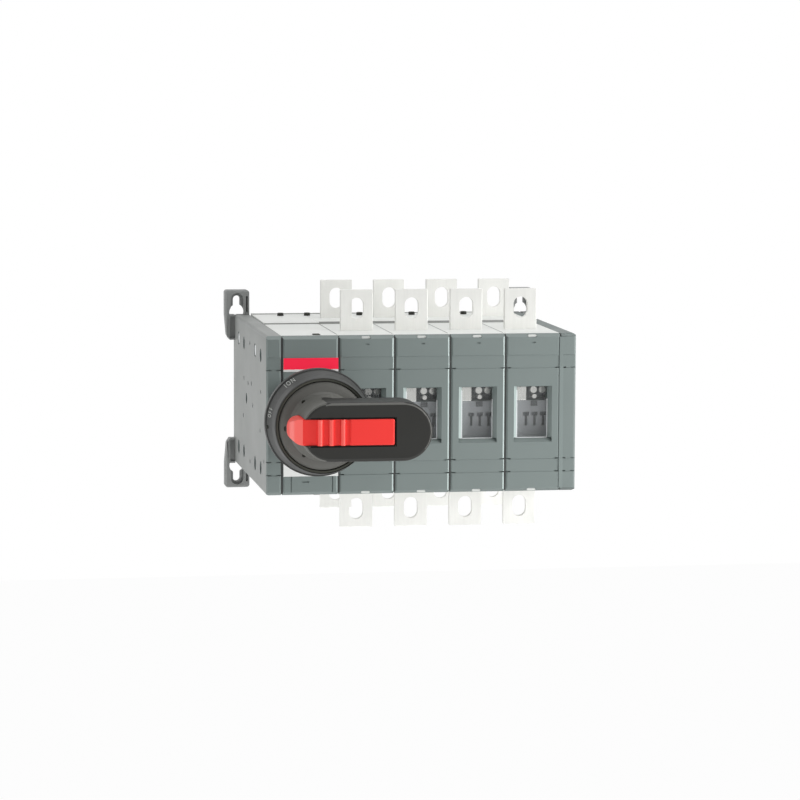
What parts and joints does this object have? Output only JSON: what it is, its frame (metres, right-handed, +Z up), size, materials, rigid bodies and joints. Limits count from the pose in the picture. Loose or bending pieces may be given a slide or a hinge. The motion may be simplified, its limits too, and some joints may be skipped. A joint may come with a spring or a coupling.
{
  "type": "changeover switch",
  "caption": "Panel-mounted changeover switch: two switches one behind the other in a grey housing with flat terminals, viewing windows, and a turning handle with a padlock slide.",
  "frame": {"origin": "middle of the flat back face, in the plane that rests on the mounting panel", "axes": "+X to the right seen from the front, +Y from the switch into the panel, +Z up"},
  "size_m": [0.2086, 0.267, 0.1504],
  "materials": {
    "end_wall_plastic": "moulded grey plastic, fine matt grain",
    "foot_plastic": "moulded dark grey plastic",
    "housing_plastic": "moulded near-white plastic, satin",
    "mechanism_cover_plastic": "moulded grey plastic, fine matt grain",
    "cover_plastic": "moulded grey plastic, fine matt grain",
    "red_band": "plain red label",
    "white_plate": "plain white label",
    "clear_pane": "clear plastic pane",
    "carrier_plastic": "moulded dark grey plastic",
    "tinned_copper": "tin-plated copper, matt silver-white",
    "dial_plastic": "black moulded plastic, satin",
    "shaft_steel": "plated steel",
    "grip_plastic": "black moulded plastic, satin",
    "slide_plastic": "red moulded plastic"
  },
  "bodies": {
    "base": {"left_end_wall": "end_wall_plastic", "right_end_wall": "end_wall_plastic", "foot_upper_left": "foot_plastic", "foot_lower_left": "foot_plastic", "foot_upper_right": "foot_plastic", "foot_lower_right": "foot_plastic", "mechanism_housing": "housing_plastic", "rear_pole_1": "housing_plastic", "rear_pole_2": "housing_plastic", "rear_pole_3": "housing_plastic", "rear_pole_4": "housing_plastic", "front_pole_1": "housing_plastic", "front_pole_2": "housing_plastic", "front_pole_3": "housing_plastic", "front_pole_4": "housing_plastic", "mechanism_cover": "mechanism_cover_plastic", "front_cover_1": "cover_plastic", "front_cover_2": "cover_plastic", "front_cover_3": "cover_plastic", "front_cover_4": "cover_plastic", "label_band": "red_band", "rating_plate": "white_plate", "window_1": "clear_pane", "window_2": "clear_pane", "window_3": "clear_pane", "window_4": "clear_pane", "contact_carrier_1": "carrier_plastic", "contact_carrier_2": "carrier_plastic", "contact_carrier_3": "carrier_plastic", "contact_carrier_4": "carrier_plastic", "front_terminals_1": "tinned_copper", "front_terminals_2": "tinned_copper", "front_terminals_3": "tinned_copper", "front_terminals_4": "tinned_copper", "rear_terminals_1": "tinned_copper", "rear_terminals_2": "tinned_copper", "rear_terminals_3": "tinned_copper", "rear_terminals_4": "tinned_copper", "dial": "dial_plastic"},
    "handle": {"shaft": "shaft_steel", "handle": "grip_plastic"},
    "slide": {"lock_slide": "slide_plastic"}
  },
  "joints": [
    {"name": "handle_turn", "type": "hinge", "parent": "base", "child": "handle", "pos_m": [-0.07, -0.175, 0], "axis": [0, -1, 0], "range_deg": [-50, 50]},
    {"name": "lock_slide_pull", "type": "slide", "parent": "handle", "child": "slide", "axis": [-1, 0, 0], "range_m": [0, 0.012]}
  ]
}
